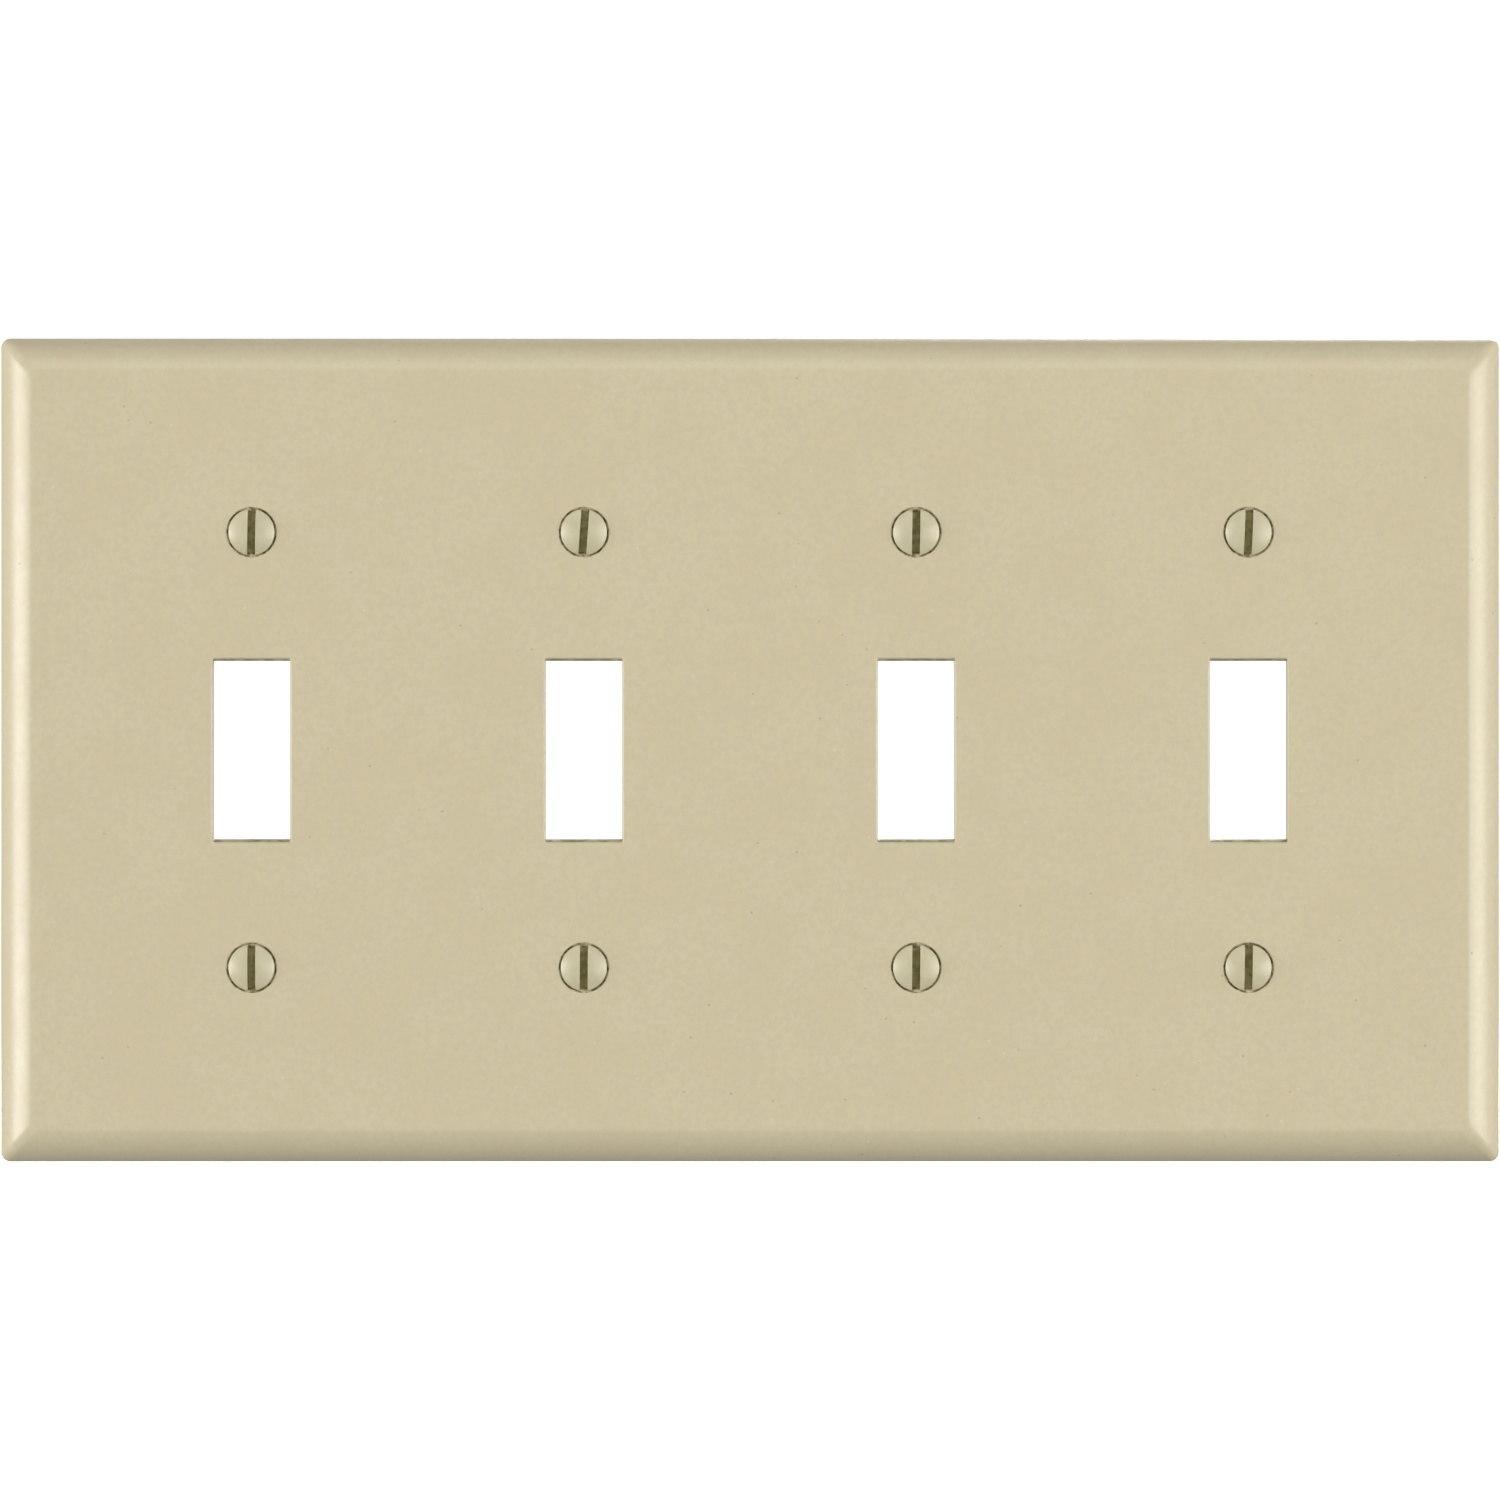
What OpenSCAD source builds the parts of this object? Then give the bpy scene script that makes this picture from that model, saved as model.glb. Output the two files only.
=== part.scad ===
// Cover plate for a row of toggle switches, with its oval-head screws.
// The plate stands upright as it hangs on a wall: +X is to the right, +Z is up and the front faces -Y.
// The origin is in the wall plane, Y = 0, behind the middle of the plate.

/* [Plate] */
// Number of switches side by side
gangs = 4; // [1:1:6]
// Distance between the centres of neighbouring switches
gang_pitch = 46.0375; // [40:0.0125:60]
// Width of a plate for one switch
single_w = 69.85; // [60:0.05:90]
// Height of the plate
plate_h = 114.3; // [100:0.1:140]
// Depth from the wall to the front face
plate_d = 5.6; // [5.2:0.1:7]
// Thickness of the front wall and of the rim
wall = 2.2; // [1.8:0.1:2.6]
// Radius of the outline's corners
corner_r = 1.3; // [0.6:0.1:2]

/* [Rounded border] */
// Width of the border, seen from the front
border_w = 4.5; // [3:0.1:4.8]
// Slope of the border where it leaves the flat face, in degrees
border_start = 18; // [8:1:20]
// Slope of the border where it meets the side, in degrees
border_end = 72; // [68:1:80]

/* [Toggle windows] */
// Clear width of a window
window_w = 10.6; // [9:0.1:12]
// Clear height of a window
window_h = 24.7; // [22:0.1:28]
// Width of the eased edge at the top and bottom of a window
end_ease = 0.4; // [0.1:0.05:0.5]
// Width of the eased edge at the sides of a window
side_ease = 0.15; // [0.1:0.05:0.5]
// Depth of the eased edges
ease_d = 1.2; // [0.3:0.1:1.6]

/* [Back of the plate] */
// Thickness of the ribs between the switches
rib_w = 1.4; // [1:0.1:2]
// Gap between the ribs and the wall
rib_gap = 1.2; // [0.5:0.1:2]
// Distance from the plate's upper and lower edge to the ends of the ribs
rib_inset = 7; // [6:0.5:12]
// Thickness of the collar round each window
collar_w = 1.6; // [1:0.1:2.5]
// Gap between the collars or screw bosses and the wall
boss_gap = 2; // [1.5:0.1:2.5]
// Diameter of the boss round each screw
boss_dia = 9.6; // [8:0.1:12]

/* [Screws] */
// Distance between the upper and lower screw of a switch
screw_spacing = 60.325; // [50:0.025:70]
// Length of a screw from the front face to its tip
screw_len = 12.7; // [10:0.1:16]
// Outside diameter of the thread
thread_dia = 3.5; // [3.4:0.05:3.6]
// Diameter of the plain neck below the head
neck_dia = 2.9; // [2.6:0.1:3]
// Diameter of the head
head_dia = 6.4; // [6:0.1:7]
// Height of the domed head above the face
dome_h = 1.05; // [0.6:0.05:1.2]
// Full angle of the countersunk head, in degrees
head_angle = 82; // [80:1:90]
// Width of the driver slot
slot_w = 1.1; // [0.8:0.02:1.2]
// Depth of the driver slot below the crown
slot_d = 1.5; // [1.1:0.1:1.8]
// Turn of each upper slot from upright, clockwise from the front, in degrees
top_turns = [1, 4, 1, 2.5]; // [0:0.5:90]
// Turn of each lower slot from upright, clockwise from the front, in degrees
bottom_turns = [0, 0.5, 0.5, 1]; // [0:0.5:90]

/* [Hidden] */
$fn = 96;
IVORY = "#cdc2a4";
over = 1;                     // how far cutting shapes run past the surface that they cut
seat_gap = 0.3;               // gap round the head at the face
web_gap = 0.18;               // gap round the neck, less than the thread's height, so the screw is captive
bore_gap = 0.3;               // gap round the thread inside the boss
web_h = 0.7;                  // thickness of the web that keeps the screw captive
thread_gap = 0.2;             // distance from the end of the boss to the start of the thread
tip_chamfer = 0.5;            // chamfer on the tip of a screw
head_edge = 0.1;              // upright edge between the countersunk part of a head and its dome

plate_w = single_w + (gangs - 1) * gang_pitch;
border_r = border_w / (sin(border_end) - sin(border_start));
floor_z = plate_d - wall;
seat_r = head_dia / 2 + seat_gap;
web_r = neck_dia / 2 + web_gap;
bore_r = thread_dia / 2 + bore_gap;
neck_z = plate_d - (head_dia - neck_dia) / 2 / tan(head_angle / 2);
web_z = plate_d - (seat_r - web_r) / tan(head_angle / 2);
thread_z = boss_gap - thread_gap;
tip_z = plate_d - screw_len;
crown_z = plate_d + dome_h;
dome_r = (pow(head_dia / 2, 2) + pow(dome_h - head_edge, 2)) / (2 * (dome_h - head_edge));

// X position of a switch's centre line, counted from 1 at the left
function gang_x(g) = (g - (gangs + 1) / 2) * gang_pitch;

// The parts are drawn lying on their backs, with the wall plane at Z = 0, and then stood up.
module stand_up() {
    rotate([90, 0, 0])
        children();
}

module rounded_rect(w, h, r) {
    square([w - 2 * r, h], center = true);
    square([w, h - 2 * r], center = true);
    for (x = [-1, 1], y = [-1, 1])
        translate([x * (w / 2 - r), y * (h / 2 - r)])
            circle(r);
}

// Cross-section of the plate, moved in by inset: a flat face whose two edges fall away in an arc.
// A section that is moved in is a cavity, so it runs out through the wall plane.
module section(span, inset) {
    arc_x = span / 2 - border_w - border_r * sin(border_start);
    arc_z = plate_d - border_r * cos(border_start);
    low = inset > 0 ? -over : 0;
    difference() {
        translate([inset - span / 2, low])
            square([span - 2 * inset, plate_d - inset - low]);
        for (side = [0, 1])
            mirror([side, 0])
                translate([arc_x, arc_z])
                    difference() {
                        square(2 * border_r);
                        circle(border_r - inset);
                    }
    }
}

// The plate's outer shape, or with an inset its cavity. The two sections meet in mitred corners.
module block(inset) {
    intersection() {
        rotate([90, 0, 0])
            linear_extrude(height = plate_h, center = true)
                section(plate_w, inset);
        rotate([90, 0, 90])
            linear_extrude(height = plate_w, center = true)
                section(plate_h, inset);
        translate([0, 0, -over])
            linear_extrude(height = plate_d + over)
                rounded_rect(plate_w - 2 * inset, plate_h - 2 * inset, corner_r);
    }
}

// Section of a window along one of its sides: clear through the wall, with an eased front edge
module window_section(span, ease) {
    polygon([
        [-span / 2, -over],
        [span / 2, -over],
        [span / 2, plate_d - ease_d],
        [span / 2 + ease, plate_d],
        [span / 2 + ease, plate_d + over],
        [-span / 2 - ease, plate_d + over],
        [-span / 2 - ease, plate_d],
        [-span / 2, plate_d - ease_d]
    ]);
}

module window() {
    intersection() {
        rotate([90, 0, 0])
            linear_extrude(height = window_h + 2 * over, center = true)
                window_section(window_w, side_ease);
        rotate([90, 0, 90])
            linear_extrude(height = window_w + 2 * over, center = true)
                window_section(window_h, end_ease);
    }
}

// Countersunk seat for a head, with a web below it that the thread can't slip through
module screw_seat() {
    rotate_extrude()
        polygon([
            [0, -over],
            [bore_r, -over],
            [bore_r, web_z - web_h],
            [web_r, web_z - web_h],
            [web_r, web_z],
            [seat_r, plate_d],
            [seat_r, plate_d + over],
            [0, plate_d + over]
        ]);
}

// Upright rib that stops short of the rim, so that it leaves no sink mark on the border
module rib(gap) {
    length = plate_h - 2 * rib_inset;
    translate([-rib_w / 2, -length / 2, gap])
        cube([rib_w, length, plate_d]);
}

module ribs() {
    if (gangs > 1)
        for (g = [1:gangs - 1])
            translate([gang_x(g) + gang_pitch / 2, 0, 0])
                rib(rib_gap);
}

module collar() {
    translate([-window_w / 2 - collar_w, -window_h / 2 - collar_w, boss_gap])
        cube([window_w + 2 * collar_w, window_h + 2 * collar_w, plate_d]);
}

module boss() {
    translate([0, 0, boss_gap])
        cylinder(d = boss_dia, h = plate_d);
}

// Repeats its children at the upper and lower screw of a switch
module at_screws() {
    for (side = [-1, 1])
        translate([0, side * screw_spacing / 2, 0])
            children();
}

module cover_plate() {
    color(IVORY)
        stand_up()
            difference() {
                block(0);
                difference() {
                    block(wall);
                    ribs();
                    for (g = [1:gangs])
                        translate([gang_x(g), 0, 0]) {
                            rib(boss_gap);
                            collar();
                            at_screws()
                                boss();
                        }
                }
                for (g = [1:gangs])
                    translate([gang_x(g), 0, 0]) {
                        window();
                        at_screws()
                            screw_seat();
                    }
            }
}

// Half of a screw's outline: the dome, its thin edge, the countersunk head, the neck, the thread's envelope
// and the tip
module screw_outline() {
    difference() {
        polygon([
            [0, crown_z],
            [head_dia / 2, crown_z],
            [head_dia / 2, plate_d],
            [neck_dia / 2, neck_z],
            [neck_dia / 2, thread_z],
            [thread_dia / 2, thread_z],
            [thread_dia / 2, tip_z + tip_chamfer],
            [thread_dia / 2 - tip_chamfer, tip_z],
            [0, tip_z]
        ]);
        difference() {
            translate([-over, plate_d + head_edge])
                square(head_dia);
            translate([0, crown_z - dome_r])
                circle(dome_r);
        }
    }
}

// An oval-head screw whose slot is turned clockwise from upright. side is 1 for the upper row, -1 for the lower.
module screw(g, side, turn) {
    color(IVORY)
        stand_up()
            translate([gang_x(g), side * screw_spacing / 2, 0])
                difference() {
                    rotate_extrude()
                        screw_outline();
                    rotate([0, 0, -turn])
                        translate([-slot_w / 2, -head_dia, crown_z - slot_d])
                            cube([slot_w, 2 * head_dia, slot_d + over]);
                }
}

module top_screw(g) {
    screw(g, 1, top_turns[(g - 1) % len(top_turns)]);
}

module bottom_screw(g) {
    screw(g, -1, bottom_turns[(g - 1) % len(bottom_turns)]);
}

cover_plate();
for (g = [1:gangs])
    top_screw(g);
for (g = [1:gangs])
    bottom_screw(g);
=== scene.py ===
"""A four-gang toggle wall plate in ivory plastic with its painted oval-head screws, in a white studio.

Shapes are worked out in millimetres as (x, h, z): x to the right, h the height above the wall, and z up.
The frame has metres, and its front faces -Y, so h becomes -Y.
"""

import math

import bmesh
import bpy
import numpy as np
from mathutils import Matrix, Vector
from mathutils.geometry import delaunay_2d_cdt


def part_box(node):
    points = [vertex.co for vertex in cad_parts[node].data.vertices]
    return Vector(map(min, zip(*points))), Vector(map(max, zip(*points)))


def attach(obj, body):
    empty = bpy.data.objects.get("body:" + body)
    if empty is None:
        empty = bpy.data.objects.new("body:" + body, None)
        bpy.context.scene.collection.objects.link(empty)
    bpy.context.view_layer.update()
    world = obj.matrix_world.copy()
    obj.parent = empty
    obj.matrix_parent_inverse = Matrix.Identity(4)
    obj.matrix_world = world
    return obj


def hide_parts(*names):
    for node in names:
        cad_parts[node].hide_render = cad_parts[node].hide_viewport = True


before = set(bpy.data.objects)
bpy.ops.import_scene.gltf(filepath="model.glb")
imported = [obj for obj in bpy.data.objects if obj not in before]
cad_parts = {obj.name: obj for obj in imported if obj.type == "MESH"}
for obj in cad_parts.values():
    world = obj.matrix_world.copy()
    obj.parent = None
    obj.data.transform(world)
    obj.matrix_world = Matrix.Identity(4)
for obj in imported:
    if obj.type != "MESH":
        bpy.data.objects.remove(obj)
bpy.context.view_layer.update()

MM = 0.001
ROWS = ("top", "bottom")
GANGS = sum(name.startswith("top_screw_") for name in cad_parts)


def mm_box(node):
    """A CAD node's box in millimetres: lowest and highest corner."""
    low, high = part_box(node)
    return Vector(low) / MM, Vector(high) / MM


# ---------------------------------------------------------------- sizes, in millimetres

# The outside sizes come from the frame, so that the visual model is as large as the CAD.
plate_low, plate_high = mm_box("cover_plate")
PLATE_W = plate_high.x - plate_low.x
PLATE_H = plate_high.z - plate_low.z
PLATE_D = -plate_low.y

screw_low, screw_high = mm_box("top_screw_1")
CROWN_H = -screw_low.y
TIP_H = -screw_high.y
HEAD_R = (screw_high.x - screw_low.x) / 2


def screw_place(row, gang):
    """Axis of a screw as (x, z)."""
    low, high = mm_box(f"{row}_screw_{gang}")
    middle = (low + high) / 2
    return middle.x, middle.z


GANG_X = [screw_place("top", g)[0] for g in range(1, GANGS + 1)]
SCREW_Z = (screw_place("top", 1)[1] - screw_place("bottom", 1)[1]) / 2

# Width of the flat band next to a small rounded edge. It keeps the edge's smooth shading off the flat.
FLAT_BAND = 0.25

# The rounded border with the fillet at its foot, the wall's thickness, and the round corners and rim
BORDER_W = 4.5
BORDER_START = math.radians(18)
BORDER_END = math.radians(72)
BORDER_R = BORDER_W / (math.sin(BORDER_END) - math.sin(BORDER_START))
FILLET_R = 1.8
WALL = 2.2
CORNER_R = 1.3
RIM_ROUND = 0.15
FLOOR_H = PLATE_D - WALL

# The toggle windows. Their front edges are eased: outwards by the first three values, and down by EASE_D.
# With an EASE_BEND of 1 the ease is a quarter round, and with 2 a straight chamfer.
WINDOW_W, WINDOW_H = 10.6, 24.7
TOP_EASE, BOTTOM_EASE, SIDE_EASE, EASE_D = 0.4, 0.6, 0.15, 1.2
EASE_BEND = 1.6
WINDOW_CORNER_R = 0.15

# The ribs, collars and screw bosses on the back
RIB_W = 1.4
RIB_TOP_H = 1.2
RIB_INSET = 7.0
RIB_END_R = 0.45
SPINE_CORNER_R = 0.3
BOSS_TOP_H = 2.0
BOSS_R = 4.8
COLLAR_W = 1.6
BACK_ROUND = 0.25
PIN_MARK_R = 3.0
PIN_MARK_DEPTH = 0.12
PIN_MARK_X = 13.5
PIN_MARK_Z = (15.0, 45.0)

# Radius of the rounded edges at the back of the windows and bores
MOUTH_ROUND = 0.2

# How far below the face the painted shade on the windows' upper and lower edges starts
EDGE_SHADE_START = 0.2

# The screws, 6-32 with a head of 82 degrees, and their seats. The edges of a slot are broken where the
# surface turns by more than SHARP.
NECK_R, THREAD_R = 1.45, 1.75
THREAD_PITCH = 25.4 / 32
THREAD_FLANK = math.radians(30)
THREAD_DEPTH = 0.43
THREAD_GAP = 0.2
THREAD_START_H = BOSS_TOP_H - THREAD_GAP
THREAD_RUN_IN = 0.4
HEAD_SLOPE = math.tan(math.radians(82 / 2))
HEAD_EDGE = 0.1
NECK_H = PLATE_D - (HEAD_R - NECK_R) / HEAD_SLOPE
SEAT_GAP, WEB_GAP, BORE_GAP = 0.3, 0.18, 0.3
WEB_T = 0.7
SEAT_BREAK = 0.07
SLOT_W, SLOT_D = 1.1, 1.5
SLOT_BREAK = 0.05
RIM_BREAK = 0.06
SHARP = math.radians(40)
TIP_CHAMFER = 0.5

# How far each driver slot is turned clockwise from upright, in degrees, from the left gang to the right
SLOT_TURNS = {"top": (1, 4, 1, 2.5), "bottom": (0, 0.5, 0.5, 1)}

# How fine the meshes are: points round a screw or its seat and round a pin mark, the side of a face on a wide
# and on a narrow flat, and the distance between points on the long sides of a rib
CIRCLE_POINTS = 64
MARK_POINTS = 40
WIDE_STEP = 4.0
NARROW_STEP = 2.0
RIB_STEP = 2.5

# Points nearer than TOUCH become one point, and a spot nearer than NEAR to a surface lies on it.
TOUCH = 0.002
NEAR = 0.01


# ---------------------------------------------------------------- outlines: lists of (x, z), anticlockwise


def shares(steps):
    """Evenly spaced numbers from 0 to 1, both included."""
    return [i / steps for i in range(steps + 1)]


def circle(cx, cz, radius, points=CIRCLE_POINTS):
    """A circle round the point (cx, cz)."""
    turns = [2 * math.pi * i / points for i in range(points)]
    return [(cx + radius * math.cos(t), cz + radius * math.sin(t)) for t in turns]


def rounded_rect(width, height, radius, across, up, round_points, centre=(0, 0)):
    """A rectangle with round corners and a fixed number of points, so that any two can be joined.

    Across and up say how many pieces its level and its upright sides are divided into."""
    half_w, half_h = width / 2 - radius, height / 2 - radius
    middles = [(half_w, -half_h), (half_w, half_h), (-half_w, half_h), (-half_w, -half_h)]
    corners = []
    for number, (x, z) in enumerate(middles):
        turns = [math.pi / 2 * (number - 1 + share) for share in shares(round_points)]
        corners.append([(x + radius * math.cos(t), z + radius * math.sin(t)) for t in turns])
    outline = []
    for number, corner in enumerate(corners):
        outline += corner
        x0, z0 = corner[-1]
        x1, z1 = corners[(number + 1) % len(corners)][0]
        between = shares(across if number % 2 else up)[1:-1]
        outline += [(x0 + (x1 - x0) * share, z0 + (z1 - z0) * share) for share in between]
    return [(x + centre[0], z + centre[1]) for x, z in outline]


def moved_out(outline, distance):
    """The same outline with every side moved out by a small distance."""
    moved = []
    for i, here in enumerate(outline):
        before = Vector(here) - Vector(outline[i - 1])
        after = Vector(outline[(i + 1) % len(outline)]) - Vector(here)
        n0 = Vector((before.y, -before.x)).normalized()
        n1 = Vector((after.y, -after.x)).normalized()
        moved.append(tuple(Vector(here) + (n0 + n1) * (distance / (1 + n0.dot(n1)))))
    return moved


def rounded_path(corners, radius, round_points=4):
    """A closed outline with each corner marked True replaced by an arc."""
    outline = []
    for i, (x, z, is_round) in enumerate(corners):
        here = Vector((x, z))
        if not is_round:
            outline.append((x, z))
            continue
        back = (Vector(corners[i - 1][:2]) - here).normalized()
        on = (Vector(corners[(i + 1) % len(corners)][:2]) - here).normalized()
        half = math.acos(max(-1, min(1, back.dot(on)))) / 2
        reach = radius / math.tan(half)
        centre = here + (back + on).normalized() * (radius / math.sin(half))
        start, end = here + back * reach - centre, here + on * reach - centre
        swing = start.angle_signed(end)
        for share in shares(round_points):
            outline.append(tuple(centre + Matrix.Rotation(-swing * share, 2) @ start))
    return outline


def quarter_round(radius, steps=3):
    """A rounded edge as pairs: what is left of the radius on one side, and what is gone on the other."""
    turns = [math.pi / 2 * share for share in shares(steps)]
    return [(radius * (1 - math.sin(t)), radius * (1 - math.cos(t))) for t in turns]


def with_points_between(outline, step):
    """Adds points to long straight sides, about a step apart."""
    fuller = []
    for i, here in enumerate(outline):
        there = outline[(i + 1) % len(outline)]
        pieces = max(1, round((Vector(there) - Vector(here)).length / step))
        fuller.append(here)
        fuller += [tuple(Vector(here).lerp(Vector(there), share)) for share in shares(pieces)[1:-1]]
    return fuller


def spine_outline(gang_x):
    """Low rib on a gang's centre line, with its collar and bosses, as one outline."""
    half, end = RIB_W / 2, PLATE_H / 2 - RIB_INSET
    lip_x, lip_z = WINDOW_W / 2 + COLLAR_W, WINDOW_H / 2 + COLLAR_W
    reach = math.pi / 2 - math.asin(half / BOSS_R)
    side = [(half, -end, True)]
    for boss_z in (-SCREW_Z, SCREW_Z):
        for share in shares(steps=24):
            turn = reach * (2 * share - 1)
            side.append((BOSS_R * math.cos(turn), boss_z + BOSS_R * math.sin(turn), share in (0, 1)))
        if boss_z < 0:
            side += [(half, -lip_z, True), (lip_x, -lip_z, True), (lip_x, lip_z, True), (half, lip_z, True)]
    side.append((half, end, True))
    other = [(-x, z, is_round) for x, z, is_round in reversed(side)]
    outline = rounded_path(side + other, SPINE_CORNER_R)
    return [(x + gang_x, z) for x, z in with_points_between(outline, RIB_STEP)]


def rib_outline(rib_x):
    """One of the ribs between the gangs."""
    half, end = RIB_W / 2, PLATE_H / 2 - RIB_INSET
    corners = [(half, -end, True), (half, end, True), (-half, end, True), (-half, -end, True)]
    outline = rounded_path(corners, RIB_END_R)
    return [(x + rib_x, z) for x, z in with_points_between(outline, RIB_STEP)]


# ---------------------------------------------------------------- surfaces


def add_object(name, data):
    """Puts a mesh, a lamp or a camera in the scene."""
    obj = bpy.data.objects.new(name, data)
    bpy.context.scene.collection.objects.link(obj)
    return obj


def to_mesh(bm, name):
    """Turns a finished bmesh into a mesh."""
    mesh = bpy.data.meshes.new(name)
    bm.to_mesh(mesh)
    bm.free()
    return mesh


def at_height(outline, h):
    """An outline as a ring at height h."""
    return [(x, h, z) for x, z in outline]


class Shell:
    """Collects faces in millimetres and welds them into one mesh."""

    def __init__(self):
        self.bm = bmesh.new()

    def point(self, p):
        """A new vertex at (x, h, z)."""
        x, h, z = p
        return self.bm.verts.new((x * MM, -h * MM, z * MM))

    def face(self, corners):
        """One face, without the corners that fall on each other."""
        apart = []
        for p in corners:
            if all((Vector(p) - Vector(q)).length > TOUCH for q in apart):
                apart.append(p)
        if len(apart) > 2:
            self.bm.faces.new([self.point(p) for p in apart])

    def loft(self, rings):
        """Joins closed rings of (x, h, z) one after the other."""
        made = [[self.point(p) for p in ring] for ring in rings]
        for one, other in zip(made, made[1:]):
            for i in range(len(one)):
                j = (i + 1) % len(one)
                self.bm.faces.new((one[i], one[j], other[j], other[i]))

    def fan(self, ring, middle):
        """Closes a ring onto one point."""
        made = [self.point(p) for p in ring]
        tip = self.point(middle)
        for i in range(len(made)):
            self.bm.faces.new((made[i], made[(i + 1) % len(made)], tip))

    def flat(self, h, outer, holes, step):
        """A flat face at height h with holes, filled with even triangles, of which most are then paired."""
        loops = [outer, *holes]
        spots = inner_spots(outer, holes, step)
        coords = [Vector(p) for loop in loops for p in loop] + [Vector(p) for p in spots]
        edges, first = [], 0
        for loop in loops:
            edges += [(first + i, first + (i + 1) % len(loop)) for i in range(len(loop))]
            first += len(loop)
        only_inside, tolerance = 1, 1e-6
        points, _, faces, *_ = delaunay_2d_cdt(coords, edges, [], only_inside, tolerance)
        plane = np.array([tuple(p) for p in points])
        middles = np.array([plane[list(f)].mean(axis=0) for f in faces])
        keep = inside(middles, outer)
        for hole in holes:
            keep &= ~inside(middles, hole)
        made = [self.point((p.x, h, p.y)) for p in points]
        new = [self.bm.faces.new([made[i] for i in f]) for f, kept in zip(faces, keep) if kept]
        bmesh.ops.join_triangles(
            self.bm, faces=new, angle_face_threshold=0.1, angle_shape_threshold=0.7, cmp_seam=False
        )

    def finish(self, name):
        """Welds the faces together and makes them a smooth mesh."""
        bm = self.bm
        bmesh.ops.remove_doubles(bm, verts=bm.verts, dist=TOUCH * MM)
        bmesh.ops.dissolve_degenerate(bm, edges=bm.edges, dist=TOUCH / 4 * MM)
        loose = [v for v in bm.verts if not v.link_faces]
        bmesh.ops.delete(bm, geom=loose, context="VERTS")
        bmesh.ops.recalc_face_normals(bm, faces=bm.faces)
        for face in bm.faces:
            face.smooth = True
        return to_mesh(bm, name)


def inside(points, outline):
    """Which points lie inside an outline, by counting how often a ray crosses it."""
    loop = np.array(outline)
    following = np.roll(loop, -1, axis=0)
    result = np.zeros(len(points), bool)
    for (x0, z0), (x1, z1) in zip(loop, following):
        if z0 == z1:
            continue
        spans = (points[:, 1] > z0) != (points[:, 1] > z1)
        result ^= spans & (points[:, 0] < x0 + (points[:, 1] - z0) * (x1 - x0) / (z1 - z0))
    return result


def inner_spots(outer, holes, step):
    """A grid of points inside an outline that keeps nearly half a step clear of every edge."""
    clear = step * 0.45
    loop = np.array(outer)
    low, high = loop.min(axis=0), loop.max(axis=0)
    counts = np.maximum(1, np.round((high - low) / step)).astype(int)
    xs = np.linspace(low[0], high[0], counts[0] + 1)[1:-1]
    zs = np.linspace(low[1], high[1], counts[1] + 1)[1:-1]
    if not len(xs) or not len(zs):
        return []
    grid = np.array([(x, z) for x in xs for z in zs])
    grid = grid[inside(grid, outer)]
    for hole in holes:
        grid = grid[~inside(grid, hole)]
    edges = np.concatenate([np.array(with_points_between(o, step / 2)) for o in (outer, *holes)])
    nearest = np.array([np.hypot(*(edges - p).T).min() for p in grid])
    return grid[nearest > clear].tolist() if len(grid) else []


# ---------------------------------------------------------------- the cover plate


def plate_ring(inset, h):
    """A ring of the border: the plate's outline moved in by inset."""
    width, height = PLATE_W - 2 * inset, PLATE_H - 2 * inset
    return at_height(rounded_rect(width, height, CORNER_R, across=42, up=22, round_points=8), h)


def border_point(slope, radius=BORDER_R):
    """Inset and height where the border's arc has this slope."""
    centre_in = BORDER_W + BORDER_R * math.sin(BORDER_START)
    centre_h = PLATE_D - BORDER_R * math.cos(BORDER_START)
    return centre_in - radius * math.sin(slope), centre_h + radius * math.cos(slope)


def border_rings():
    """From the wall up the side, over the rounded border and through a small fillet to the flat face."""
    _, side_h = border_point(BORDER_END)
    rings = [*quarter_round(RIM_ROUND), (0.0, side_h / 2), (0.0, side_h - FLAT_BAND)]
    drop = BORDER_R * math.cos(BORDER_START) - FILLET_R
    join = math.acos(drop / (BORDER_R - FILLET_R))
    rings += [border_point(BORDER_END + (join - BORDER_END) * share) for share in shares(steps=14)]
    middle_in, _ = border_point(join, BORDER_R - FILLET_R)
    for share in shares(steps=6)[1:]:
        slope = join * (1 - share)
        rings.append((middle_in - FILLET_R * math.sin(slope), PLATE_D - FILLET_R * (1 - math.cos(slope))))
    rings.append((middle_in + FLAT_BAND, PLATE_D))
    return [plate_ring(inset, h) for inset, h in rings]


def cavity_rings():
    """From the back's floor down the hollow side of the border to the rim."""
    inner_r = BORDER_R - WALL
    centre_in, centre_h = border_point(0, 0)
    first = math.acos((FLOOR_H - centre_h) / inner_r)
    last = math.asin((centre_in - WALL) / inner_r)
    foot_in, _ = border_point(first, inner_r)
    rings = [(foot_in + 2 * FLAT_BAND, FLOOR_H), (foot_in + FLAT_BAND, FLOOR_H)]
    rings += [border_point(first + (last - first) * share, inner_r) for share in shares(steps=9)[1:]]
    rings += [(WALL - gone, left) for left, gone in quarter_round(RIM_ROUND)]
    return [plate_ring(inset, h) for inset, h in rings]


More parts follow.
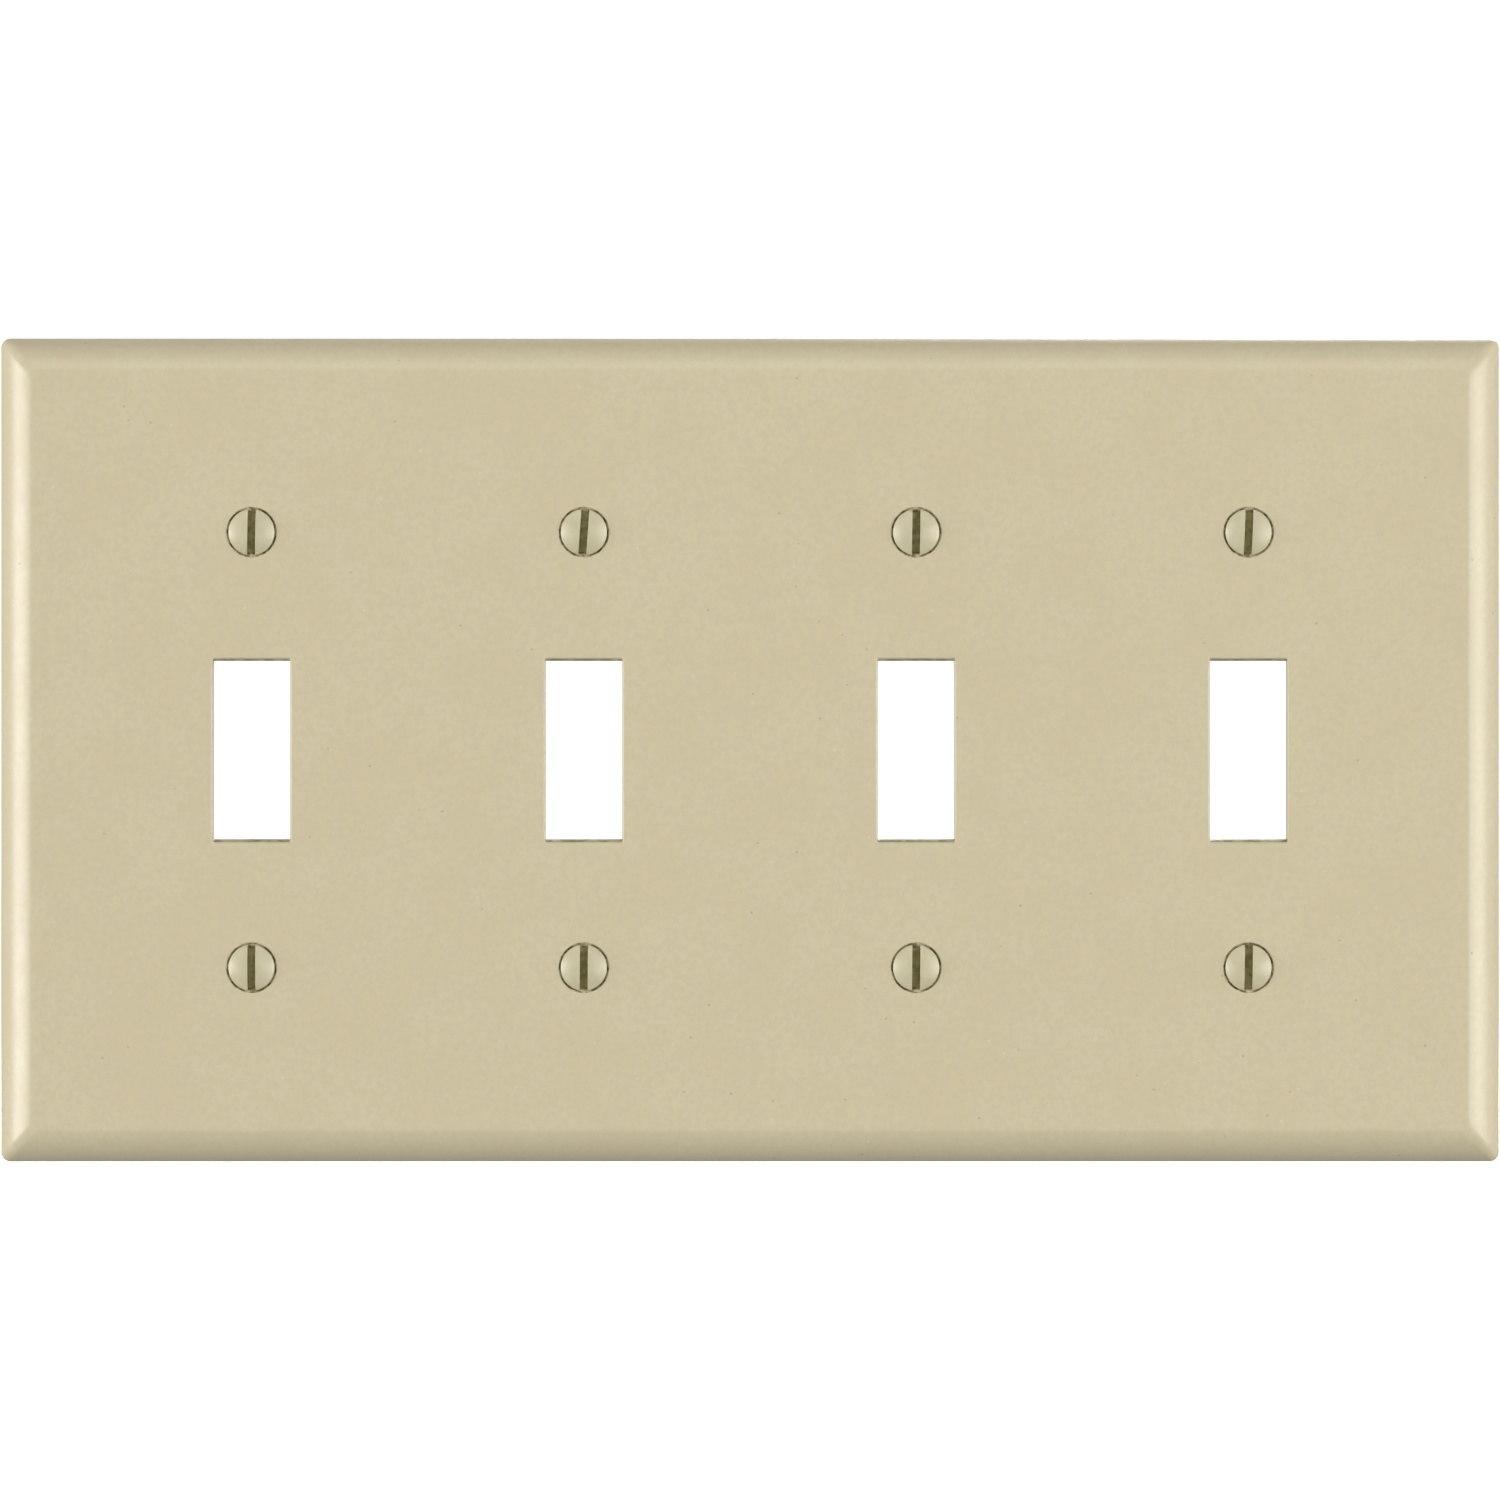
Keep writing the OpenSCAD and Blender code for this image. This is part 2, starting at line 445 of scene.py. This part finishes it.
def window_rings(gang_x):
    """From the face through a toggle window to the top of its collar."""

    def ring(side, top, bottom, h):
        """The window's outline at height h, moved out at the sides, the top and the bottom."""
        size = (WINDOW_W + 2 * side, WINDOW_H + top + bottom)
        corner_r = WINDOW_CORNER_R + min(side, top, bottom)
        centre = (gang_x, (top - bottom) / 2)
        return at_height(rounded_rect(*size, corner_r, across=4, up=9, round_points=4, centre=centre), h)

    rings = [ring(SIDE_EASE + FLAT_BAND, TOP_EASE + FLAT_BAND, BOTTOM_EASE + FLAT_BAND, PLATE_D)]
    for share in shares(steps=9):
        turn = math.pi / 2 * share
        grow = 1 - math.sin(turn) ** EASE_BEND
        deep = 1 - max(0, math.cos(turn)) ** EASE_BEND
        rings.append(ring(SIDE_EASE * grow, TOP_EASE * grow, BOTTOM_EASE * grow, PLATE_D - EASE_D * deep))
    rings.append(ring(0, 0, 0, (PLATE_D + BOSS_TOP_H) / 2))
    rings += [ring(gone, gone, gone, BOSS_TOP_H + left) for left, gone in quarter_round(MOUTH_ROUND)]
    band = MOUTH_ROUND + FLAT_BAND
    rings.append(ring(band, band, band, BOSS_TOP_H))
    return rings


def seat_rings(x, z):
    """From the face down a screw's countersunk seat to the top of its boss."""
    seat_r = HEAD_R + SEAT_GAP
    web_r = NECK_R + WEB_GAP
    bore_r = THREAD_R + BORE_GAP
    web_top = PLATE_D - (seat_r - web_r) / HEAD_SLOPE
    profile = [
        (seat_r + SEAT_BREAK + FLAT_BAND, PLATE_D),
        (seat_r + SEAT_BREAK, PLATE_D),
        (seat_r + SEAT_BREAK / 4, PLATE_D - SEAT_BREAK / 4),
        (seat_r, PLATE_D - SEAT_BREAK),
        (seat_r - FLAT_BAND, PLATE_D - SEAT_BREAK - FLAT_BAND / HEAD_SLOPE),
        (web_r, web_top),
        (web_r, web_top - WEB_T),
        (bore_r, web_top - WEB_T),
        *((bore_r + gone, BOSS_TOP_H + left) for left, gone in quarter_round(MOUTH_ROUND)),
        (bore_r + MOUTH_ROUND + FLAT_BAND, BOSS_TOP_H),
    ]
    return [at_height(circle(x, z, r), h) for r, h in profile]


def raised_rings(outline, top_h):
    """From the top of a rib or boss, with its rounded edge, down its side to the floor."""
    rings = [(-left, top_h + gone) for left, gone in quarter_round(BACK_ROUND)]
    rings += [(gone, FLOOR_H - left) for left, gone in quarter_round(BACK_ROUND)]
    return [at_height(moved_out(outline, grow), h) for grow, h in rings]


def pin_marks():
    """Places where ejector pins pushed the moulding out: eight to a gang."""
    return [
        (x + side_x * PIN_MARK_X, side_z * at)
        for x in GANG_X
        for side_x in (-1, 1)
        for side_z in (-1, 1)
        for at in PIN_MARK_Z
    ]


def pin_mark_rings(x, z):
    """From the floor into the shallow round mark that an ejector pin leaves."""
    mark_h = FLOOR_H + PIN_MARK_DEPTH
    profile = [
        (PIN_MARK_R + FLAT_BAND, FLOOR_H),
        (PIN_MARK_R, FLOOR_H),
        (PIN_MARK_R - PIN_MARK_DEPTH, mark_h),
        (PIN_MARK_R - PIN_MARK_DEPTH - FLAT_BAND, mark_h),
    ]
    return [at_height(circle(x, z, r, MARK_POINTS), h) for r, h in profile]


def flat_loop(ring):
    """A ring as an outline again."""
    return [(x, z) for x, _, z in ring]


def make_plate():
    """The whole moulding as one closed mesh."""
    shell = Shell()
    border, cavity = border_rings(), cavity_rings()
    shell.loft(border)
    shell.loft(cavity)
    shell.loft([cavity[-1], border[0]])

    face_holes, floor_holes = [], []
    for gang_x in GANG_X:
        window = window_rings(gang_x)
        seats = [seat_rings(gang_x, side * SCREW_Z) for side in (-1, 1)]
        spine = raised_rings(spine_outline(gang_x), BOSS_TOP_H)
        for rings in (window, *seats, spine):
            shell.loft(rings)
        face_holes += [flat_loop(rings[0]) for rings in (window, *seats)]
        boss_holes = [flat_loop(rings[-1]) for rings in (window, *seats)]
        shell.flat(BOSS_TOP_H, flat_loop(spine[0]), boss_holes, NARROW_STEP)
        floor_holes.append(flat_loop(spine[-1]))
    for x0, x1 in zip(GANG_X, GANG_X[1:]):
        rib = raised_rings(rib_outline((x0 + x1) / 2), RIB_TOP_H)
        shell.loft(rib)
        shell.flat(RIB_TOP_H, flat_loop(rib[0]), [], NARROW_STEP)
        floor_holes.append(flat_loop(rib[-1]))
    for x, z in pin_marks():
        mark = pin_mark_rings(x, z)
        shell.loft(mark)
        shell.flat(FLOOR_H + PIN_MARK_DEPTH, flat_loop(mark[-1]), [], NARROW_STEP)
        floor_holes.append(flat_loop(mark[0]))
    shell.flat(PLATE_D, flat_loop(border[-1]), face_holes, WIDE_STEP)
    shell.flat(FLOOR_H, flat_loop(cavity[0]), floor_holes, WIDE_STEP)
    return shell.finish("cover_plate_moulding")


# ---------------------------------------------------------------- the screws


def thread_profile():
    """One pitch of a 60-degree thread as pairs: the way along the screw, and the radius."""
    root_r = THREAD_R - THREAD_DEPTH
    flank = THREAD_DEPTH * math.tan(THREAD_FLANK)
    crest = THREAD_PITCH / 8
    root = THREAD_PITCH - 2 * flank - crest
    return [(0, root_r), (root, root_r), (root + flank, THREAD_R), (root + flank + crest, THREAD_R)]


def thread_rings():
    """Rings of a right-hand thread, one turn each, wound round the shank and clipped to its two ends."""
    top, bottom, spare_turns = THREAD_START_H, TIP_H, 3
    turns = math.ceil((top - bottom) / THREAD_PITCH) + spare_turns
    rings = []
    for turn in range(turns):
        for along, radius in thread_profile():
            ring = []
            for share in shares(CIRCLE_POINTS)[:-1]:
                h = top + THREAD_PITCH - (turn + share) * THREAD_PITCH - along
                h = max(bottom, min(top, h))
                r = NECK_R + (radius - NECK_R) * min(1, (top - h) / THREAD_RUN_IN)
                r = min(r, THREAD_R - TIP_CHAMFER + h - bottom)
                angle = 2 * math.pi * share
                ring.append((r * math.cos(angle), h, r * math.sin(angle)))
            rings.append(ring)
    return rings


def make_screw():
    """One screw with its axis on the origin and its slot upright."""
    shell = Shell()
    dome_h = CROWN_H - PLATE_D - HEAD_EDGE
    dome_r = (HEAD_R**2 + dome_h**2) / (2 * dome_h)
    rim_turn = math.asin((HEAD_R - RIM_BREAK) / dome_r)
    turns = [rim_turn * share for share in shares(steps=10)[1:]]
    profile = [(dome_r * math.sin(t), CROWN_H - dome_r * (1 - math.cos(t))) for t in turns]
    profile += [
        (HEAD_R - RIM_BREAK / 4, PLATE_D + HEAD_EDGE),
        (HEAD_R, PLATE_D + HEAD_EDGE / 2),
        (HEAD_R - RIM_BREAK / 3, PLATE_D - RIM_BREAK / 3),
        ((HEAD_R + NECK_R) / 2, (PLATE_D + NECK_H) / 2),
        (NECK_R, NECK_H),
        (NECK_R, NECK_H - FLAT_BAND),
        (NECK_R, THREAD_START_H),
    ]
    rings = [at_height(circle(0, 0, r), h) for r, h in profile]
    shell.fan(rings[0], (0, CROWN_H, 0))
    shell.loft(rings)
    spiral_thread(shell)
    tip_ring = at_height(circle(0, 0, THREAD_R - TIP_CHAMFER), TIP_H)
    shell.fan(tip_ring, (0, TIP_H, 0))
    return shell.finish("oval_head_screw")


def spiral_thread(shell):
    """Adds the thread to a screw. A ring's last point meets the first point of the ring one turn on."""
    rings = thread_rings()
    turn_on = len(thread_profile())
    for row, (one, other) in enumerate(zip(rings, rings[1:])):
        for i in range(CIRCLE_POINTS - 1):
            shell.face((one[i], one[i + 1], other[i + 1], other[i]))
        if row + turn_on + 1 < len(rings):
            following, after = rings[row + turn_on], rings[row + turn_on + 1]
            shell.face((one[-1], following[0], after[0], other[-1]))


def cut_slot(blank):
    """Saws the driver slot across a screw's head and breaks its sharp edges."""
    saw = bmesh.new()
    bmesh.ops.create_cube(saw, size=1)
    bmesh.ops.scale(saw, vec=Vector((SLOT_W, 2 * SLOT_D, 4 * HEAD_R)) * MM, verts=saw.verts)
    bmesh.ops.translate(saw, vec=(0, -CROWN_H * MM, 0), verts=saw.verts)
    cutter = add_object("saw", to_mesh(saw, "saw"))
    work = add_object("screw_blank", blank)
    cut = work.modifiers.new("slot", "BOOLEAN")
    cut.operation, cut.solver, cut.object = "DIFFERENCE", "EXACT", cutter
    mesh = bpy.data.meshes.new_from_object(work.evaluated_get(bpy.context.evaluated_depsgraph_get()))
    for obj in (cutter, work):
        bpy.data.objects.remove(obj)

    bm = bmesh.new()
    bm.from_mesh(mesh)
    bmesh.ops.remove_doubles(bm, verts=bm.verts, dist=2 * TOUCH * MM)

    def on_slot_wall(vert):
        return abs(abs(vert.co.x) - SLOT_W / 2 * MM) < TOUCH / 2 * MM and -vert.co.y > PLATE_D * MM

    edges = [
        edge
        for edge in bm.edges
        if all(on_slot_wall(vert) for vert in edge.verts)
        and edge.is_manifold
        and edge.calc_face_angle() > SHARP
    ]
    bmesh.ops.bevel(
        bm, geom=edges, offset=SLOT_BREAK * MM, segments=2, profile=0.5, affect="EDGES", clamp_overlap=True
    )
    bmesh.ops.recalc_face_normals(bm, faces=bm.faces)
    bm.to_mesh(mesh)
    bm.free()
    return mesh


# ---------------------------------------------------------------- materials


def srgb(red, green, blue):
    """A colour as seen on a screen, 0 to 255, in Blender's linear values."""

    def linear(v):
        v /= 255
        return v / 12.92 if v <= 0.04045 else ((v + 0.055) / 1.055) ** 2.4

    return linear(red), linear(green), linear(blue), 1.0


class Nodes:
    """A material's node tree, with short ways to add what these materials use."""

    def __init__(self, name):
        self.material = bpy.data.materials.new(name)
        self.material.use_nodes = True
        self.tree = self.material.node_tree
        self.shader = self.tree.nodes["Principled BSDF"]
        self.place = self.add("ShaderNodeTexCoord").outputs["Object"]

    def add(self, kind, **settings):
        """A new node of some kind with these settings."""
        node = self.tree.nodes.new(kind)
        for key, value in settings.items():
            setattr(node, key, value)
        return node

    def join(self, value, socket):
        """Feeds a socket from another node's output, or with a plain number or colour."""
        if isinstance(value, bpy.types.NodeSocket):
            self.tree.links.new(value, socket)
        else:
            socket.default_value = value

    def noise(self, size, detail=2.0, roughness=0.5):
        """Noise whose features are about size millimetres across, from 0 to 1."""
        node = self.add("ShaderNodeTexNoise")
        self.join(self.place, node.inputs["Vector"])
        self.join(1 / (size * MM), node.inputs["Scale"])
        self.join(detail, node.inputs["Detail"])
        self.join(roughness, node.inputs["Roughness"])
        return node.outputs["Fac"]

    def ramp(self, value, low, high, to_low=0.0, to_high=1.0):
        """Moves the range low..high to to_low..to_high, smoothly and within its ends."""
        node = self.add("ShaderNodeMapRange", interpolation_type="SMOOTHSTEP")
        self.join(value, node.inputs["Value"])
        for key, number in (("From Min", low), ("From Max", high), ("To Min", to_low), ("To Max", to_high)):
            self.join(number, node.inputs[key])
        return node.outputs["Result"]

    def maths(self, operation, one, other):
        """The result of an operation on two numbers."""
        node = self.add("ShaderNodeMath", operation=operation)
        for socket, value in zip(node.inputs, (one, other)):
            self.join(value, socket)
        return node.outputs["Value"]

    def mix(self, share, one, other):
        """A colour between one and other."""
        node = self.add("ShaderNodeMix", data_type="RGBA")
        sockets = [node.inputs["Factor"], *[s for s in node.inputs if s.type == "RGBA"]]
        for socket, value in zip(sockets, (share, one, other)):
            self.join(value, socket)
        return next(o for o in node.outputs if o.type == "RGBA")

    def specks(self, size, radius, share):
        """1 inside small round specks, one in some of the cells of a grid size millimetres across."""
        cells = self.add("ShaderNodeTexVoronoi")
        self.join(self.place, cells.inputs["Vector"])
        self.join(1 / (size * MM), cells.inputs["Scale"])
        split = self.add("ShaderNodeSeparateColor")
        self.join(cells.outputs["Color"], split.inputs["Color"])
        edge, core = radius / size, radius / size * 0.4
        dot = self.ramp(cells.outputs["Distance"], edge, core)
        chosen = self.maths("LESS_THAN", split.outputs["Red"], share)
        return self.maths("MULTIPLY", dot, chosen)

    def roughness(self, size, detail, low, high):
        """A roughness that wanders between low and high in patches about size millimetres across."""
        patches = self.ramp(self.noise(size, detail), 0.3, 0.7, low, high)
        self.join(patches, self.shader.inputs["Roughness"])

    def bump(self, layers):
        """Raises the surface by several heights in millimetres, one on top of the other."""
        normal = None
        for height, millimetres in layers:
            node = self.add("ShaderNodeBump")
            self.join(1.0, node.inputs["Strength"])
            self.join(millimetres * MM, node.inputs["Distance"])
            self.join(height, node.inputs["Height"])
            if normal is not None:
                self.join(normal, node.inputs["Normal"])
            normal = node.outputs["Normal"]
        self.join(normal, self.shader.inputs["Normal"])

    def set(self, **numbers):
        """Sets the shader's own numbers. Their names are written with _ for a space."""
        for key, value in numbers.items():
            self.join(value, self.shader.inputs[key.replace("_", " ")])


def ivory_plastic():
    """Moulded ivory plastic: faint clouds in the colour, rare specks, and a fine even grain."""
    n = Nodes("ivory_plastic")
    clouds = n.ramp(n.noise(9.0, detail=3.0), 0.3, 0.7)
    flecks = n.ramp(n.noise(0.9, detail=2.0, roughness=0.6), 0.38, 0.62)
    colour = n.mix(clouds, srgb(203, 191, 159), srgb(205, 194, 162))
    colour = n.mix(n.maths("MULTIPLY", flecks, 0.6), colour, srgb(199, 188, 156))
    dark_specks = n.specks(3.1, radius=0.24, share=0.35)
    colour = n.mix(n.maths("MULTIPLY", dark_specks, 0.4), colour, srgb(120, 104, 72))
    light_specks = n.specks(2.7, radius=0.28, share=0.35)
    colour = n.mix(n.maths("MULTIPLY", light_specks, 0.3), colour, srgb(226, 216, 182))
    n.join(colour, n.shader.inputs["Base Color"])
    n.roughness(3.0, detail=3.0, low=0.34, high=0.38)
    n.bump([(n.noise(7.0, detail=1.0), 0.006), (n.noise(0.6, detail=1.0), 0.0018)])
    return n.material


def shaded_plastic(name, patch_size, dark, light):
    """The same plastic darkened with painted shade, in dark and light patches."""
    n = Nodes(name)
    clouds = n.ramp(n.noise(patch_size), 0.4, 0.6)
    n.join(n.mix(clouds, dark, light), n.shader.inputs["Base Color"])
    n.roughness(0.5, detail=2.0, low=0.45, high=0.6)
    n.bump([(n.noise(0.35), 0.004)])
    return n.material


def screw_paint():
    """Ivory enamel on a screw's head, with mottled painted shade deep in the slot and below the rim."""
    n = Nodes("ivory_enamel")
    clouds = n.ramp(n.noise(1.6), 0.3, 0.7)
    paint = n.mix(clouds, srgb(192, 184, 151), srgb(197, 189, 157))
    height = n.add("ShaderNodeSeparateXYZ")
    n.join(n.place, height.inputs["Vector"])
    # Painted shade: the paint darkens, in mottled patches, deep in the slot and under the rim.
    lit_y, shade_y = -(PLATE_D + 0.12) * MM, -(PLATE_D - 0.3) * MM
    depth = n.ramp(height.outputs["Y"], lit_y, shade_y)
    slot_shade = n.mix(n.ramp(n.noise(0.9), 0.35, 0.65), srgb(134, 126, 72), srgb(166, 157, 99))
    n.join(n.mix(depth, paint, slot_shade), n.shader.inputs["Base Color"])
    n.roughness(0.8, detail=2.0, low=0.40, high=0.46)
    n.bump([(n.noise(0.9), 0.004)])
    n.set(Specular_IOR_Level=0.7)
    return n.material


def zinc():
    """Bright zinc plating on the threaded shank."""
    n = Nodes("zinc_plate")
    clouds = n.ramp(n.noise(0.7, detail=3.0), 0.3, 0.7)
    n.join(n.mix(clouds, srgb(186, 186, 182), srgb(206, 205, 198)), n.shader.inputs["Base Color"])
    n.roughness(0.4, detail=3.0, low=0.26, high=0.42)
    n.bump([(n.noise(0.25), 0.003)])
    n.set(Metallic=1.0)
    return n.material


def stage_white(brightness):
    """A matt white that glows by itself, so that the picture's background is even."""
    material = bpy.data.materials.new("studio_white")
    material.use_nodes = True
    shader = material.node_tree.nodes["Principled BSDF"]
    shader.inputs["Base Color"].default_value = (0.9, 0.9, 0.9, 1)
    shader.inputs["Roughness"].default_value = 1.0
    shader.inputs["Emission Color"].default_value = (1, 1, 1, 1)
    shader.inputs["Emission Strength"].default_value = brightness
    return material


# ---------------------------------------------------------------- build


def plate_slot(spot):
    """The plate's material at a spot: 1 in a seat, 2 or 3 on a window's upper or lower edge, else 0. Slots 1
    to 3 carry painted shade.
    """
    h, up = -spot.y, abs(spot.z)
    across = min(abs(spot.x - x) for x in GANG_X)
    in_seat = math.hypot(across, up - SCREW_Z) < HEAD_R + SEAT_GAP and FLOOR_H < h < PLATE_D - NEAR
    in_window = across < WINDOW_W / 2 + SIDE_EASE and WINDOW_H / 2 - NEAR < up < WINDOW_H / 2 + BOTTOM_EASE
    if in_window and PLATE_D - EASE_D < h < PLATE_D - EDGE_SHADE_START:
        return 2 if spot.z > 0 else 3
    return int(in_seat)


plate = add_object("ivory_cover_plate", make_plate())
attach(plate, "plate")
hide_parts("cover_plate")
plate.data.materials.append(ivory_plastic())
# Painted shade: the seats and the windows' upper and lower edges get darker plastic where little light falls.
for name, patch_size, dark, light in (
    ("painted_shade_in_seats", 0.8, srgb(140, 129, 90), srgb(214, 204, 170)),
    ("painted_shade_on_upper_window_edges", 1.6, srgb(158, 147, 110), srgb(196, 186, 152)),
    ("painted_shade_on_lower_window_edges", 1.6, srgb(122, 112, 76), srgb(164, 154, 120)),
):
    plate.data.materials.append(shaded_plastic(name, patch_size, dark, light))
for face in plate.data.polygons:
    face.material_index = plate_slot(face.center / MM)

# The paint on a screw ends where its neck begins.
screw_mesh = cut_slot(make_screw())
screw_mesh.materials.append(screw_paint())
screw_mesh.materials.append(zinc())
for face in screw_mesh.polygons:
    face.material_index = int(face.center.y > -NECK_H * MM)
for row in ROWS:
    for gang in range(1, GANGS + 1):
        x, z = screw_place(row, gang)
        node = f"{row}_screw_{gang}"
        mesh = screw_mesh.copy()
        turn = Matrix.Rotation(math.radians(SLOT_TURNS[row][gang - 1]), 4, "Y")
        mesh.transform(Matrix.Translation((x * MM, 0, z * MM)) @ turn)
        screw = add_object(f"oval_head_{node}", mesh)
        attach(screw, node)
        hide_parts(node)


# ---------------------------------------------------------------- studio

# In metres, but for the sensor's width, which is in millimetres. FRAME_W is the width that the picture covers
# in the wall plane.
CAMERA_D = 1.87
FRAME_W = 0.2084
SENSOR_W = 36.0
CLIP_D = 50
LAMP_D = 2.5
DOME_R = 8.0
FLOOR_R = DOME_R * 0.98
FLOOR_DROP = 0.04


def make_camera():
    """Straight in front of the plate, far enough away to look at it almost square on."""
    data = bpy.data.cameras.new("camera")
    data.sensor_width = SENSOR_W
    data.lens = SENSOR_W * CAMERA_D / FRAME_W
    data.clip_end = CLIP_D
    camera = add_object("camera", data)
    camera.location = (0, -CAMERA_D, 0)
    camera.rotation_euler = (math.radians(90), 0, 0)
    bpy.context.scene.camera = camera


def seen_by_camera_only(obj):
    """The white surroundings fill the picture, but they throw no light on the plate."""
    obj.visible_diffuse = False
    obj.visible_glossy = False
    obj.visible_transmission = False
    obj.visible_shadow = False


def make_stage():
    """A pale floor under the plate, and a white dome round everything."""
    bm = bmesh.new()
    bmesh.ops.create_uvsphere(bm, u_segments=48, v_segments=24, radius=DOME_R)
    dome = to_mesh(bm, "dome")
    dome.materials.append(stage_white(brightness=1.0))
    seen_by_camera_only(add_object("studio_dome", dome))

    bm = bmesh.new()
    bmesh.ops.create_circle(bm, cap_ends=True, segments=64, radius=FLOOR_R)
    bmesh.ops.translate(bm, vec=(0, 0, plate_low.z * MM - FLOOR_DROP), verts=bm.verts)
    floor = to_mesh(bm, "floor")
    floor.materials.append(stage_white(brightness=0.75))
    seen_by_camera_only(add_object("studio_floor", floor))


def make_lamp(name, azimuth, width, watts, elevation=0, height=1.0):
    """A soft box that faces the plate.

    Azimuth moves it to the right from straight in front, and elevation lifts it, both in degrees."""
    data = bpy.data.lights.new(name, "AREA")
    data.shape = "RECTANGLE"
    data.size, data.size_y = width, height
    data.energy = watts
    lamp = add_object(name, data)
    a, e = math.radians(azimuth), math.radians(elevation)
    away = Vector((math.sin(a) * math.cos(e), -math.cos(a) * math.cos(e), math.sin(e)))
    lamp.location = away * LAMP_D
    lamp.rotation_euler = (-away).to_track_quat("-Z", "Y").to_euler()
    lamp.visible_camera = False


def make_world(strength):
    """Even light from all round, for the shadows."""
    world = bpy.data.worlds.new("studio_air")
    world.use_nodes = True
    background = world.node_tree.nodes["Background"]
    background.inputs["Color"].default_value = (1, 1, 1, 1)
    background.inputs["Strength"].default_value = strength
    bpy.context.scene.world = world


make_camera()
make_stage()
make_world(strength=0.32)
make_lamp("left_soft_box", azimuth=-70, width=1.6, watts=53)
make_lamp("right_soft_box", azimuth=70, width=1.5, watts=26)
make_lamp("right_key", azimuth=65, width=0.6, watts=9)
make_lamp("right_front_box", azimuth=43, width=0.6, watts=14.5)
make_lamp("top_fill", azimuth=0, elevation=50, width=1.4, height=0.9, watts=10)
make_lamp("rear_soft_box", azimuth=165, elevation=30, width=0.8, height=0.8, watts=42)

bpy.context.scene.view_settings.view_transform = "Standard"
